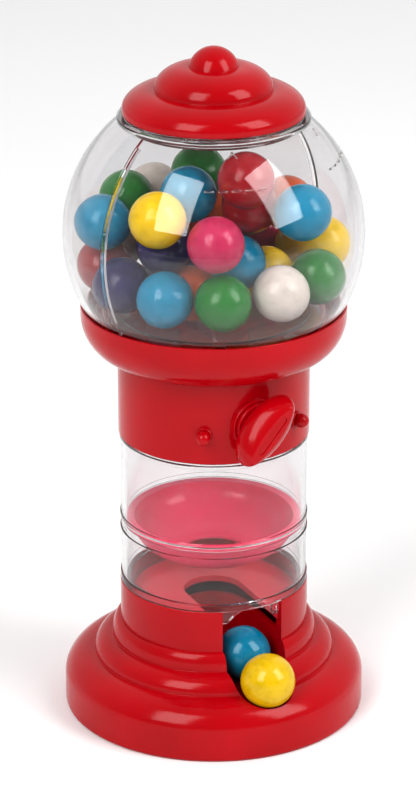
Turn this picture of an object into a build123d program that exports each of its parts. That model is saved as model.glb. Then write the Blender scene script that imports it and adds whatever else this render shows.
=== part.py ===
from build123d import *
import math
import os

# Gumball machine: a clear globe over a red dispensing head, a clear drop tube and a stepped base.
# Millimetres, +Z up, origin at the middle of the underside, front towards -Y.

# Column: the head is the widest drum, and the collar and tubes follow it
head_radius = 27.0
collar_radius = head_radius - 0.2
tube_radius = head_radius - 0.6

# Base
base_radius = 43.0
base_side_height = 8.4  # straight side below the first rounded step
step_radii = (collar_radius + 7.7, collar_radius + 2.5, collar_radius + 0.3)  # crease above each step
step_tops = (16.1, 21.2, 26.4)
collar_top = 38.6
base_wall = 1.6
tray_wall = 1.4

# Directions, in degrees turned from the front towards +X
front_azimuth = 25.5  # outlet, chute and knob share this direction
seam_azimuth = -47.0  # where the two globe shells meet

# Gumballs
ball_diameter = 15.6
ball_radius = ball_diameter / 2
ball_gap = 0.15  # smallest gap kept round a resting ball

# Chute and tray
chute_half_width = ball_radius + 1.4
tray_distance = 35.3  # from the axis to the middle of the tray
tray_bottom = 12.1
chute_slope = 0.112

# Drop floor that closes the collar
floor_top = 34.2
floor_thickness = 1.8
floor_slot_half_width = ball_radius + 0.8

# Clear tubes and the bowl between them
tube_wall = 1.4
tube_joint = 58.0
tube_bead = 0.3  # how far a bead stands out of the tube
foot_bead_height = 2.3  # bead at the foot of the lower tube
line_bead_height = 1.0  # thin bead below the joint of the tubes
line_bead_drop = 2.9
joint_bead_height = 1.3
head_bead_height = 1.8
lug_offset = ball_radius + 0.1  # small lug on the skirt, to the right of the arch
skirt_lug_width = 1.8
skirt_lug_height = 2.4
arch_radius = ball_radius + 0.2
arch_top = 38.3
bowl_hole_radius = ball_radius + 0.8
bowl_depth = 10.8
bowl_wall = 1.2

# Dispensing head
head_bottom = 83.8
head_top = 107.5
head_wall = 1.6
spigot_depth = 5.0  # how far the upper tube reaches into the head

# Knob and its rotor
rotor_radius = ball_radius + 2.8
rotor_half_length = ball_radius + 2.5
knob_height = head_top - head_wall - rotor_radius - 0.3
boss_radius = 7.4
boss_face = head_radius + 1.4  # distance of the boss face from the machine's axis
stem_radius = 3.5
running_gap = 0.06
stem_flat_depth = 1.0  # how deep the flat of the D-shaped stem is cut
stem_reach = 2.0  # stem end in front of the rotor's body
rotor_clearance = 0.4
rotor_end_gap = 0.5
hub_radius = 4.9
hub_face = head_radius - 2.4
journal_radius = 2.6
journal_length = 3.5
grip_half_length = 12.2
grip_half_width = 6.2
grip_face_half_width = 2.7
grip_base = boss_face + 2.6
grip_face = grip_base + 6.6
grip_tilt = 43.0
grip_recess_depth = 0.5
flank_bulge = 0.56  # height of the widest line on the grip's flank
flank_inset = 0.6
disc_gap = 0.3
disc_height = 1.3
disc_steps = (0.6, 1.9)  # how far each disc stands inside the boss

# Cradle
cradle_wall = 1.4
cradle_drop = 7.0  # how far its walls reach below the knob's axis
pin_spread = 31.3  # degrees either side of the knob
pin_height = knob_height - 2.6
pin_radius = 1.45
pin_head_radius = 2.05
pin_boss_radius = 2.4
pin_collar_height = 0.9  # disc under a pin's round head
pin_seat_depth = 2.0  # closed end of a pin's hole
plate_post_height = 3.5  # posts that take the head's screws
rib_thickness = 2.0

# Saucer
saucer_rim = 0.56  # thickness of the rim at its lip
saucer_lip_bottom = 119.0
saucer_top = 121.6
saucer_wall = 1.6
saucer_ring_width = 1.5
saucer_lip_bevel = 0.6
head_screw_length = 6.1

# Globe
globe_radius = 41.9
globe_wall = 1.4
globe_bottom = 117.4
globe_seat_radius = 33.77  # where the shells stand in the saucer
seam_rib_depth = 0.8
seam_rib_width = 0.8
globe_floor_top = 119.6
globe_floor_thickness = 1.4
feed_radius = ball_radius + 0.9
feed_wall = 1.3
throat_flange_radius = feed_radius + 6.1
floor_arc_inset = 4.4
floor_arc_width = 0.8
floor_arc_height = 0.4
tab_count = 3
tab_width = 3.4
tab_height = 1.6
tab_azimuth = 3.0

# Neck, seal and lid
neck_radius = 22.4
neck_wall = 1.2
neck_rise = 4.3  # neck above the globe's mouth
neck_flange_radius = neck_radius + 4.2
neck_flange_thickness = 1.2
seal_thickness = 0.5
seal_gap = 0.1
seal_inset = 0.2  # seal rim inside the lid's rim
lid_radius = neck_radius + 2.8
lid_side_height = 1.2
lid_tier_radii = (lid_radius - 8.8, lid_radius - 17.9)
lid_tier_rises = (6.7, 13.1)  # top of each tier above the lid's rim
lid_wall = 1.5
lid_skirt_radius = neck_radius + 0.6
finial_radius = lid_radius - 18.3
finial_height = 5.4
lug_width = 4.0
lug_height = 1.1
lug_gap = 0.3
lid_turn = 50.0

# Fits and fasteners
fit_gap = 0.1
screw_radius = 1.2
screw_gap = 0.05
screw_head_radius = 2.2
screw_head_height = 1.5
screw_count = 3
head_screw_circle = throat_flange_radius + 7.2
plate_screw_circle = base_radius - 7.5
plate_thickness = 1.6
plate_lift = 0.6
plate_screw_seat = 1.1  # how deep the screws' heads are let into the plate

collar_bore = collar_radius - base_wall
floor_bottom = floor_top - floor_thickness
tube_bore = tube_radius - tube_wall
head_bore = head_radius - head_wall
inner_globe = globe_radius - globe_wall
globe_centre = globe_bottom + math.sqrt(globe_radius ** 2 - globe_seat_radius ** 2)
shell_mouth = neck_radius + 1.5
globe_top = globe_centre + math.sqrt(inner_globe ** 2 - shell_mouth ** 2)
lip_bore = math.sqrt(globe_radius ** 2 - (globe_centre - saucer_top) ** 2) + 1.5 * fit_gap
saucer_radius = lip_bore + saucer_rim
neck_top = globe_top + neck_rise
neck_flange_top = globe_top + neck_flange_thickness
lid_bottom = neck_flange_top + seal_gap + seal_thickness + seal_gap
cradle_plate_top = head_top - head_wall
rotor_space = rotor_radius + rotor_clearance
cradle_radius = rotor_space + cradle_wall
lug_bottom = lid_bottom + 0.5
tray_centre = tray_bottom + chute_half_width

os.makedirs("parts", exist_ok=True)


def radial_plane(azimuth, height, distance=0.0, dip=0.0, roll=0.0):
    """Plane facing outwards: local X runs to the right, local Y up, dipped or rolled in degrees."""
    turn = math.radians(azimuth)
    outward = Vector(math.sin(turn), -math.cos(turn), 0)
    right = Vector(math.cos(turn), math.sin(turn), 0)
    up = Vector(0, 0, 1)
    across = right * math.cos(math.radians(roll)) + up * math.sin(math.radians(roll))
    facing = outward * math.cos(math.radians(dip)) - up * math.sin(math.radians(dip))
    return Plane(origin=outward * distance + up * height, x_dir=across, z_dir=facing)


def section_plane(azimuth):
    """Upright half-section plane: local X runs outwards at the azimuth, local Y up."""
    turn = math.radians(azimuth)
    outward = (math.sin(turn), -math.cos(turn), 0)
    return Plane(origin=(0, 0, 0), x_dir=outward, z_dir=(-math.cos(turn), -math.sin(turn), 0))


def level_spot(azimuth, distance, height=0.0):
    turn = math.radians(azimuth)
    return Vector(distance * math.sin(turn), -distance * math.cos(turn), height)


def wall_section(inner, outer, bottom, top):
    """One rectangle of a turned part's half section."""
    with Locations(((inner + outer) / 2, (bottom + top) / 2)):
        Rectangle(outer - inner, top - bottom)


def stepped_outline(start_radius, start_height, tier_radii, tier_tops, inset, top_radius, top):
    """Half outline of rounded steps: each one rises straight and curves in to the next crease."""
    radius = start_radius - inset
    height = start_height
    Polyline((0, 0), (radius, 0), (radius, height))
    for tier_radius, tier_top in zip(tier_radii, tier_tops):
        crease = tier_radius - inset
        rise = tier_top - inset - height
        EllipticalCenterArc((crease, height), radius - crease, rise, start_angle=0, arc_size=90)
        radius = crease
        height = tier_top - inset
    Polyline((radius, height), (top_radius - inset, height), (top_radius - inset, top), (0, top), (0, 0))


def make_chute(margin, top):
    """The ball's way out, grown by a margin: a sloping round-bottomed trough ending in a round tray."""
    width = chute_half_width + margin
    slope_angle = math.degrees(math.atan(chute_slope))
    tray = level_spot(front_azimuth, tray_distance, tray_centre)
    back = radial_plane(front_azimuth, tray_centre, tray_distance, dip=slope_angle)
    with BuildPart() as trough:
        with BuildSketch(back):
            Circle(width)
            with Locations((0, top / 2)):
                Rectangle(2 * width, top)
        extrude(amount=-(tray_distance + 2 * width))
        with BuildSketch(Plane.XY):
            with Locations(level_spot(front_azimuth, tray_distance / 2)):
                SlotCenterToCenter(tray_distance, 2 * width, rotation=front_azimuth - 90)
        extrude(amount=top, mode=Mode.INTERSECT)
    with BuildPart() as chute:
        add(trough.part)
        with Locations(tray):
            Sphere(width)
        with BuildSketch(Plane.XY.offset(tray_centre)):
            with Locations(level_spot(front_azimuth, tray_distance)):
                Circle(width)
        extrude(amount=top - tray_centre)
    return chute.part


def turned_screws(circle, start_azimuth, head_bottom, length, head_up):
    """Cross-head screws on a circle, heads up or down, tips at the far end of the shank."""
    direction = 1 if head_up else -1
    with BuildPart() as screws:
        for index in range(screw_count):
            spot = level_spot(start_azimuth + index * 360 / screw_count, circle, head_bottom)
            face = Plane(origin=spot, z_dir=(0, 0, direction))
            with BuildSketch(face):
                Circle(screw_head_radius)
            extrude(amount=screw_head_height)
            with BuildSketch(face):
                Circle(screw_radius)
            extrude(amount=-length)
            with BuildSketch(face.offset(screw_head_height)):
                Rectangle(screw_head_radius, screw_head_radius / 5)
                Rectangle(screw_head_radius / 5, screw_head_radius)
            extrude(amount=-screw_head_height / 2, mode=Mode.SUBTRACT)
    return screws.part


# Base form: the full outer shape, used to trim what is moulded inside it
with BuildPart() as base_form:
    with BuildSketch(Plane.XZ):
        with BuildLine():
            stepped_outline(
                base_radius, base_side_height, step_radii, step_tops, 0, collar_radius, collar_top
            )
        make_face()
    revolve(axis=Axis.Z)

with BuildPart() as tray_body:
    add(make_chute(tray_wall, floor_bottom))
    add(base_form.part, mode=Mode.INTERSECT)

# Posts under the base take the screws of the bottom plate
plate_seat = plate_lift + plate_thickness
post_radius = 3.2
with BuildPart() as base_posts:
    for index in range(screw_count):
        azimuth = front_azimuth + 180 + index * 360 / screw_count
        with BuildSketch(Plane.XY.offset(plate_seat)):
            with Locations(level_spot(azimuth, plate_screw_circle)):
                Circle(post_radius)
        extrude(amount=step_tops[0] - plate_seat)
    add(base_form.part, mode=Mode.INTERSECT)

plate_screw_length = 9.0
with BuildPart() as base_shell:
    add(base_form.part)
    with BuildSketch(Plane.XZ):
        with BuildLine():
            stepped_outline(
                base_radius, base_side_height, step_radii, step_tops, base_wall,
                collar_radius, collar_top
            )
        make_face()
    revolve(axis=Axis.Z, mode=Mode.SUBTRACT)
    # Ledge that carries the drop floor
    with BuildSketch(Plane.XZ):
        wall_section(
            collar_bore - base_wall, collar_bore + base_wall / 2, floor_bottom - base_wall, floor_bottom
        )
    revolve(axis=Axis.Z)
    add(tray_body.part)
    add(base_posts.part)
    add(make_chute(0, collar_top + 1), mode=Mode.SUBTRACT)
    for index in range(screw_count):
        azimuth = front_azimuth + 180 + index * 360 / screw_count
        with BuildSketch(Plane.XY.offset(plate_seat)):
            with Locations(level_spot(azimuth, plate_screw_circle)):
                Circle(screw_radius + screw_gap)
        extrude(amount=plate_screw_length, mode=Mode.SUBTRACT)
base_shell.part.label = "base_shell"

# Bottom plate, let in from below, with countersunk seats for its screws
with BuildPart() as bottom_plate:
    with BuildSketch(Plane.XY.offset(plate_lift)):
        Circle(base_radius - base_wall - fit_gap)
    extrude(amount=plate_thickness)
    for index in range(screw_count):
        azimuth = front_azimuth + 180 + index * 360 / screw_count
        spot = level_spot(azimuth, plate_screw_circle)
        with BuildSketch(Plane.XY.offset(plate_lift)):
            with Locations(spot):
                Circle(screw_radius + fit_gap)
        extrude(amount=plate_thickness, mode=Mode.SUBTRACT)
        with BuildSketch(Plane.XY.offset(plate_lift)):
            with Locations(spot):
                Circle(screw_head_radius + fit_gap)
        extrude(amount=plate_screw_seat, mode=Mode.SUBTRACT)
bottom_plate.part.label = "bottom_plate"

plate_screws = turned_screws(
    plate_screw_circle, front_azimuth + 180, plate_lift + plate_screw_seat, plate_screw_length, False
)
plate_screws.label = "plate_screws"

# Drop floor with the U-shaped slot that lets balls into the chute
with BuildPart() as drop_floor:
    with BuildSketch(Plane.XY.offset(floor_bottom)):
        Circle(collar_bore - fit_gap)
        with Locations(level_spot(front_azimuth, tray_distance / 2)):
            SlotCenterToCenter(
                tray_distance, 2 * floor_slot_half_width, rotation=front_azimuth - 90, mode=Mode.SUBTRACT
            )
    extrude(amount=floor_thickness)
drop_floor.part.label = "drop_floor"

# Lower clear tube: a skirt inside the collar, an arch over the outlet and a seat for the bowl
skirt_radius = collar_bore - fit_gap
skirt_bore = skirt_radius - tube_wall
bowl_flange_radius = tube_bore + 0.5
with BuildPart() as lower_tube:
    with BuildSketch(Plane.XZ):
        wall_section(tube_bore, tube_radius, collar_top, tube_joint)
        wall_section(skirt_bore, skirt_radius, floor_top, collar_top + tube_wall)
        wall_section(skirt_bore, tube_radius, collar_top, collar_top + tube_wall)
        wall_section(tube_bore, tube_radius + tube_bead, collar_top, collar_top + foot_bead_height)
        wall_section(
            tube_bore, tube_radius + tube_bead, tube_joint - line_bead_drop - line_bead_height,
            tube_joint - line_bead_drop
        )
    revolve(axis=Axis.Z)
    # Small lug inside the skirt, beside the arch
    lug_turn = math.degrees(math.asin(lug_offset / skirt_bore))
    lug_foot = floor_top + 3 * fit_gap
    with BuildSketch(radial_plane(front_azimuth + lug_turn, lug_foot, skirt_bore - tube_wall / 2)):
        Rectangle(skirt_lug_width, skirt_lug_height, align=(Align.CENTER, Align.MIN))
        Rectangle(skirt_lug_width / 2, 1.5 * skirt_lug_height, align=(Align.MIN, Align.MIN))
    extrude(amount=tube_wall)
    with BuildSketch(Plane.XZ):
        wall_section(0, bowl_flange_radius + fit_gap, tube_joint - bowl_wall, tube_joint)
    revolve(axis=Axis.Z, mode=Mode.SUBTRACT)
    with BuildSketch(radial_plane(front_azimuth, arch_top - arch_radius)):
        Circle(arch_radius)
    extrude(amount=skirt_radius + fit_gap, mode=Mode.SUBTRACT)
lower_tube.part.label = "lower_tube"

# Bowl between the tubes, with the hole the balls drop through
bowl_reach = tube_bore - 0.2 - bowl_hole_radius
with BuildPart() as bowl_plate:
    with BuildSketch(Plane.XZ):
        with BuildLine():
            EllipticalCenterArc(
                (bowl_hole_radius, tube_joint), bowl_reach - bowl_wall / 1.5, bowl_depth,
                start_angle=270, arc_size=90
            )
            Line(
                (bowl_hole_radius + bowl_reach - bowl_wall / 1.5, tube_joint),
                (bowl_hole_radius + bowl_reach, tube_joint)
            )
            EllipticalCenterArc(
                (bowl_hole_radius, tube_joint), bowl_reach, bowl_depth + bowl_wall,
                start_angle=270, arc_size=90
            )
            Line(
                (bowl_hole_radius, tube_joint - bowl_depth - bowl_wall),
                (bowl_hole_radius, tube_joint - bowl_depth)
            )
        make_face()
        wall_section(tube_bore - 0.8, bowl_flange_radius, tube_joint - bowl_wall, tube_joint)
    revolve(axis=Axis.Z)
bowl_plate.part.label = "bowl_plate"

# Upper clear tube, with a spigot inside the head
spigot_radius = head_bore - fit_gap
with BuildPart() as upper_tube:
    with BuildSketch(Plane.XZ):
        wall_section(tube_bore, tube_radius, tube_joint, head_bottom)
        wall_section(
            spigot_radius - tube_wall, spigot_radius, head_bottom - tube_wall, head_bottom + spigot_depth
        )
        wall_section(spigot_radius - tube_wall, tube_radius, head_bottom - tube_wall, head_bottom)
        wall_section(tube_bore, tube_radius + tube_bead, tube_joint, tube_joint + joint_bead_height)
        wall_section(tube_bore, tube_radius + tube_bead, head_bottom - head_bead_height, head_bottom)
    revolve(axis=Axis.Z)
upper_tube.part.label = "upper_tube"

# Head: the red drum round the mechanism, with the knob's boss
head_flange_bore = head_screw_circle - 2 * screw_radius - 0.8
with BuildPart() as head:
    with BuildSketch(Plane.XY.offset(head_bottom)):
        Circle(head_radius)
    extrude(amount=head_top - head_bottom)
    with BuildSketch(radial_plane(front_azimuth, knob_height, head_bore - 1.0)):
        Circle(boss_radius)
    extrude(amount=boss_face - head_bore + 1.0)
    with BuildSketch(Plane.XY.offset(head_bottom)):
        Circle(head_bore)
    extrude(amount=cradle_plate_top - head_bottom, mode=Mode.SUBTRACT)
    with BuildSketch(Plane.XY.offset(cradle_plate_top)):
        Circle(head_flange_bore)
        for index in range(screw_count):
            with Locations(level_spot(front_azimuth + 180 + index * 360 / screw_count, head_screw_circle)):
                Circle(screw_radius + screw_gap)
    extrude(amount=head_wall, mode=Mode.SUBTRACT)
    with BuildSketch(radial_plane(front_azimuth, knob_height)):
        Circle(stem_radius + running_gap)
    extrude(amount=boss_face + 1, mode=Mode.SUBTRACT)
    for side in (-1, 1):
        with BuildSketch(radial_plane(front_azimuth + side * pin_spread, pin_height)):
            Circle(pin_radius + screw_gap)
        extrude(amount=head_radius + 1, mode=Mode.SUBTRACT)
head.part.label = "head"

# Cradle: hood over the rotor, hung from a plate under the head's flange
cradle_half_length = rotor_half_length + rotor_end_gap + cradle_wall
hub_clear = hub_radius + rotor_clearance + pin_boss_radius
pin_side_reach = math.sqrt(hub_clear ** 2 - (knob_height - pin_height) ** 2)
pin_boss_start = pin_side_reach / math.sin(math.radians(pin_spread))
pin_boss_end = spigot_radius - tube_wall - fit_gap
with BuildPart() as cradle:
    with BuildSketch(radial_plane(front_azimuth, knob_height, -cradle_half_length)):
        Circle(cradle_radius)
        with Locations((0, -cradle_drop / 2)):
            Rectangle(2 * cradle_radius, cradle_drop)
        with Locations((0, -cradle_drop - cradle_radius / 2)):
            Rectangle(3 * cradle_radius, cradle_radius, mode=Mode.SUBTRACT)
    extrude(amount=2 * cradle_half_length)
    with BuildSketch(Plane.XY.offset(cradle_plate_top - head_wall)):
        Circle(head_bore - fit_gap)
    extrude(amount=head_wall)
    for index in range(screw_count):
        azimuth = front_azimuth + 180 + index * 360 / screw_count
        with BuildSketch(Plane.XY.offset(cradle_plate_top)):
            with Locations(level_spot(azimuth, head_screw_circle)):
                Circle(2.5 * screw_radius)
        extrude(amount=-plate_post_height)
    for side in (-1, 1):
        azimuth = front_azimuth + side * pin_spread
        with BuildSketch(radial_plane(azimuth, pin_height, pin_boss_start)):
            Circle(pin_boss_radius)
        extrude(amount=pin_boss_end - pin_boss_start)
        with BuildSketch(radial_plane(azimuth, pin_height, pin_boss_start + rib_thickness)):
            Rectangle(rib_thickness, cradle_plate_top - pin_height, align=(Align.CENTER, Align.MIN))
        extrude(amount=pin_boss_end - pin_boss_start - rib_thickness)
    # Room for the rotor, its journal, its hub and the ball
    with BuildSketch(radial_plane(front_azimuth, knob_height, -rotor_half_length - rotor_end_gap)):
        Circle(rotor_space)
        with Locations((0, -cradle_radius / 2)):
            Rectangle(2 * rotor_space, cradle_radius)
    extrude(amount=2 * (rotor_half_length + rotor_end_gap), mode=Mode.SUBTRACT)
    with BuildSketch(radial_plane(front_azimuth, knob_height, -cradle_half_length)):
        Circle(journal_radius + running_gap)
    extrude(amount=cradle_half_length, mode=Mode.SUBTRACT)
    with BuildSketch(radial_plane(front_azimuth, knob_height)):
        Circle(hub_radius + rotor_clearance)
        with Locations((0, -cradle_radius / 2)):
            Rectangle(2 * (hub_radius + rotor_clearance), cradle_radius)
    extrude(amount=cradle_half_length, mode=Mode.SUBTRACT)
    with BuildSketch(Plane.XY.offset(knob_height)):
        Circle(feed_radius)
    extrude(amount=cradle_radius, mode=Mode.SUBTRACT)
    for index in range(screw_count):
        azimuth = front_azimuth + 180 + index * 360 / screw_count
        with BuildSketch(Plane.XY.offset(cradle_plate_top)):
            with Locations(level_spot(azimuth, head_screw_circle)):
                Circle(screw_radius + screw_gap)
        extrude(amount=-plate_post_height, mode=Mode.SUBTRACT)
    for side in (-1, 1):
        azimuth = front_azimuth + side * pin_spread
        with BuildSketch(radial_plane(azimuth, pin_height, pin_boss_start + pin_seat_depth)):
            Circle(pin_radius + screw_gap)
        extrude(amount=head_bore, mode=Mode.SUBTRACT)
cradle.part.label = "cradle"

# Round-headed pins that hold the cradle through the head's wall
with BuildPart() as cradle_pins:
    for side in (-1, 1):
        azimuth = front_azimuth + side * pin_spread
        with BuildSketch(radial_plane(azimuth, pin_height, pin_boss_start + pin_seat_depth + fit_gap)):
            Circle(pin_radius)
        extrude(amount=head_radius + fit_gap - pin_boss_start - pin_seat_depth)
        with BuildSketch(radial_plane(azimuth, pin_height, head_radius)):
            Circle(pin_boss_radius)
        extrude(amount=pin_collar_height)
        with Locations(level_spot(azimuth, head_radius + pin_head_radius + fit_gap, pin_height)):
            Sphere(pin_head_radius)
cradle_pins.part.label = "cradle_pins"

# Rotor: a drum with one round pocket, a rear journal and a front hub
pocket_radius = ball_radius + 0.3
pocket_centre = knob_height + rotor_radius - ball_radius
with BuildPart() as rotor:
    with BuildSketch(radial_plane(front_azimuth, knob_height, -rotor_half_length)):
        Circle(rotor_radius)
    extrude(amount=2 * rotor_half_length)
    with BuildSketch(radial_plane(front_azimuth, knob_height, -rotor_half_length - journal_length)):
        Circle(journal_radius)
    extrude(amount=journal_length)
    with BuildSketch(radial_plane(front_azimuth, knob_height, rotor_half_length)):
        Circle(hub_radius)
    extrude(amount=hub_face - rotor_half_length)
    with Locations((0, 0, pocket_centre)):
        Sphere(pocket_radius, mode=Mode.SUBTRACT)
    with BuildSketch(Plane.XY.offset(pocket_centre)):
        Circle(pocket_radius)
    extrude(amount=rotor_radius, mode=Mode.SUBTRACT)
    with BuildSketch(radial_plane(front_azimuth, knob_height, rotor_half_length + stem_reach)):
        Circle(stem_radius + running_gap)
        with Locations((0, stem_flat_depth - stem_radius)):
            Rectangle(3 * stem_radius, stem_radius, align=(Align.CENTER, Align.MAX), mode=Mode.SUBTRACT)
    extrude(amount=head_radius, mode=Mode.SUBTRACT)
    with BuildSketch(radial_plane(front_azimuth, knob_height)):
        Circle(screw_radius + screw_gap)
    extrude(amount=head_radius, mode=Mode.SUBTRACT)
    # Driver access from the rear and a seat for the screw's head
    with BuildSketch(radial_plane(front_azimuth, knob_height, -head_radius)):
        Circle(journal_radius - 1)
    extrude(amount=head_radius, mode=Mode.SUBTRACT)
    with BuildSketch(radial_plane(front_azimuth, knob_height)):
        Circle(screw_head_radius + fit_gap)
    extrude(amount=rotor_half_length, mode=Mode.SUBTRACT)
rotor.part.label = "rotor"

rotor_screw_length = 8.0
with BuildPart() as rotor_screw:
    with BuildSketch(radial_plane(front_azimuth, knob_height, rotor_half_length)):
        Circle(screw_head_radius)
    extrude(amount=-screw_head_height)
    with BuildSketch(radial_plane(front_azimuth, knob_height, rotor_half_length)):
        Circle(screw_radius)
    extrude(amount=rotor_screw_length)
    with BuildSketch(radial_plane(front_azimuth, knob_height, rotor_half_length - screw_head_height)):
        Rectangle(screw_head_radius, screw_head_radius / 5)
        Rectangle(screw_head_radius / 5, screw_head_radius)
    extrude(amount=screw_head_height / 2, mode=Mode.SUBTRACT)
rotor_screw.part.label = "rotor_screw"

# Knob: a D-shaped stem, two stepped discs and a pointed grip with rounded flanks
disc_start = boss_face + disc_gap
with BuildPart() as grip:
    face = radial_plane(front_azimuth, knob_height, grip_base - grip_recess_depth, roll=grip_tilt)
    flank_top = grip_face - grip_base + grip_recess_depth
    flank_foot = grip_half_width - flank_inset
    bow = (grip_half_length ** 2 + grip_half_width ** 2) / (2 * grip_half_width)
    with BuildSketch(face):
        with Locations((0, bow - grip_half_width)):
            Circle(bow)
        with Locations((0, grip_half_width - bow)):
            Circle(bow, mode=Mode.INTERSECT)
    extrude(amount=flank_top)
    # The flanks curve in from the widest line to the narrow face
    flank_plane = Plane(origin=face.origin, x_dir=face.y_dir, z_dir=face.x_dir)
    with BuildSketch(flank_plane.offset(-grip_half_length)):
        with BuildLine():
            Polyline(
                (grip_face_half_width, flank_top), (-grip_face_half_width, flank_top)
            )
            ThreePointArc(
                (-grip_face_half_width, flank_top),
                (-flank_foot, flank_top * flank_bulge),
                (-flank_foot, 0)
            )
            Line((-flank_foot, 0), (flank_foot, 0))
            ThreePointArc(
                (flank_foot, 0),
                (flank_foot, flank_top * flank_bulge),
                (grip_face_half_width, flank_top)
            )
        make_face()
    extrude(amount=2 * grip_half_length, mode=Mode.INTERSECT)
    # Shallow oblong recess in the face
    with BuildSketch(face.offset(flank_top)):
        SlotOverall(grip_half_length, 1.3 * grip_face_half_width)
    extrude(amount=-grip_recess_depth, mode=Mode.SUBTRACT)

stem_end = rotor_half_length + stem_reach + fit_gap
with BuildPart() as knob:
    add(grip.part)
    with BuildSketch(radial_plane(front_azimuth, knob_height, disc_start)):
        Circle(boss_radius - disc_steps[0])
    extrude(amount=disc_height)
    with BuildSketch(radial_plane(front_azimuth, knob_height, disc_start)):
        Circle(boss_radius - disc_steps[1])
    extrude(amount=grip_base - disc_start)
    with BuildSketch(radial_plane(front_azimuth, knob_height, stem_end)):
        Circle(stem_radius)
    extrude(amount=disc_start - stem_end)
    with BuildSketch(radial_plane(front_azimuth, knob_height, stem_end)):
        with Locations((0, stem_flat_depth + fit_gap - stem_radius)):
            Rectangle(3 * stem_radius, stem_radius, align=(Align.CENTER, Align.MAX))
    extrude(amount=hub_face - stem_end + fit_gap, mode=Mode.SUBTRACT)
    with BuildSketch(radial_plane(front_azimuth, knob_height, stem_end)):
        Circle(screw_radius + screw_gap)
    extrude(amount=rotor_screw_length, mode=Mode.SUBTRACT)
knob.part.label = "knob"

# Saucer: bowl on top of the head that carries the globe
globe_floor_radius = math.sqrt(inner_globe ** 2 - (globe_centre - globe_bottom) ** 2) - 3 * fit_gap
feed_outer = feed_radius + feed_wall
with BuildPart() as saucer:
    with BuildSketch(Plane.XZ):
        with BuildLine():
            Polyline((feed_outer + 2 * fit_gap, head_top), (head_radius + fit_gap, head_top))
            EllipticalCenterArc(
                (head_radius + fit_gap, saucer_lip_bottom), saucer_radius - head_radius - fit_gap,
                saucer_lip_bottom - head_top, start_angle=270, arc_size=90
            )
            Polyline(
                (saucer_radius, saucer_lip_bottom), (saucer_radius, saucer_top - saucer_lip_bevel),
                (saucer_radius - saucer_lip_bevel / 2, saucer_top), (lip_bore, saucer_top),
                (saucer_radius - saucer_wall, saucer_lip_bottom)
            )
            EllipticalCenterArc(
                (head_radius, saucer_lip_bottom), saucer_radius - saucer_wall - head_radius,
                saucer_lip_bottom - head_top - saucer_wall, start_angle=270, arc_size=90
            )
            Polyline(
                (head_radius, head_top + saucer_wall), (feed_outer + 2 * fit_gap, head_top + saucer_wall),
                (feed_outer + 2 * fit_gap, head_top)
            )
        make_face()
        # Ring under the globe floor and ledge under the shells
        wall_section(
            globe_floor_radius - saucer_ring_width - seam_rib_depth, globe_floor_radius - seam_rib_depth,
            head_top + saucer_wall / 2, globe_floor_top - globe_floor_thickness
        )
        wall_section(
            globe_floor_radius - saucer_ring_width - seam_rib_depth, saucer_radius - 1.2 * saucer_wall,
            globe_bottom - saucer_wall, globe_bottom
        )
    revolve(axis=Axis.Z)
    with BuildSketch(Plane.XY.offset(head_top)):
        for index in range(screw_count):
            with Locations(level_spot(front_azimuth + 180 + index * 360 / screw_count, head_screw_circle)):
                Circle(screw_radius + screw_gap)
    extrude(amount=saucer_wall, mode=Mode.SUBTRACT)
saucer.part.label = "saucer"

head_screws = turned_screws(
    head_screw_circle, front_azimuth + 180, head_top + saucer_wall, head_screw_length, True
)
head_screws.label = "head_screws"

# Feed throat from the globe floor to the rotor
floor_underside = globe_floor_top - globe_floor_thickness
with BuildPart() as feed_throat:
    with BuildSketch(Plane.XZ):
        wall_section(feed_radius, feed_outer, head_top, floor_underside)
        wall_section(feed_radius, throat_flange_radius, floor_underside - feed_wall, floor_underside)
    revolve(axis=Axis.Z)
feed_throat.part.label = "feed_throat"

# Clear floor of the globe: a hole for the balls, raised arcs and locating tabs
arc_radius = globe_floor_radius - floor_arc_inset
tab_reach = 1.2
with BuildPart() as globe_floor:
    with BuildSketch(Plane.XZ):
        wall_section(feed_radius + fit_gap, globe_floor_radius, floor_underside, globe_floor_top)
        wall_section(
            arc_radius - floor_arc_width, arc_radius, floor_underside, globe_floor_top + floor_arc_height
        )
    revolve(axis=Axis.Z)
    for index in range(tab_count):
        azimuth = tab_azimuth + index * 360 / tab_count
        with BuildSketch(radial_plane(azimuth, globe_floor_top, globe_floor_radius - 2 * tab_reach)):
            Rectangle(tab_width, tab_height, align=(Align.CENTER, Align.MIN))
        extrude(amount=tab_reach)
    hole_edges = globe_floor.edges().filter_by(GeomType.CIRCLE).group_by(SortBy.RADIUS)[0]
    chamfer(hole_edges.sort_by(Axis.Z)[-1], globe_floor_thickness / 2)
globe_floor.part.label = "globe_floor"


def level_band(bottom, top):
    """A wide level slab, for cutting round pieces between two heights."""
    with BuildPart() as band:
        with BuildSketch(Plane.XY.offset(bottom)):
            Circle(2 * globe_radius)
        extrude(amount=top - bottom)
    return band.part


def make_rib(seam):
    """The rib inside both edges of one shell, stopping short of the floor and of the neck."""
    with BuildPart() as rib:
        with BuildSketch(seam):
            with Locations((0, globe_centre)):
                Circle(inner_globe + globe_wall / 2)
                Circle(inner_globe - seam_rib_depth, mode=Mode.SUBTRACT)
        extrude(amount=-seam_rib_width)
        add(level_band(globe_floor_top + 1.5, globe_top - 3), mode=Mode.INTERSECT)
    return rib.part


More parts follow.
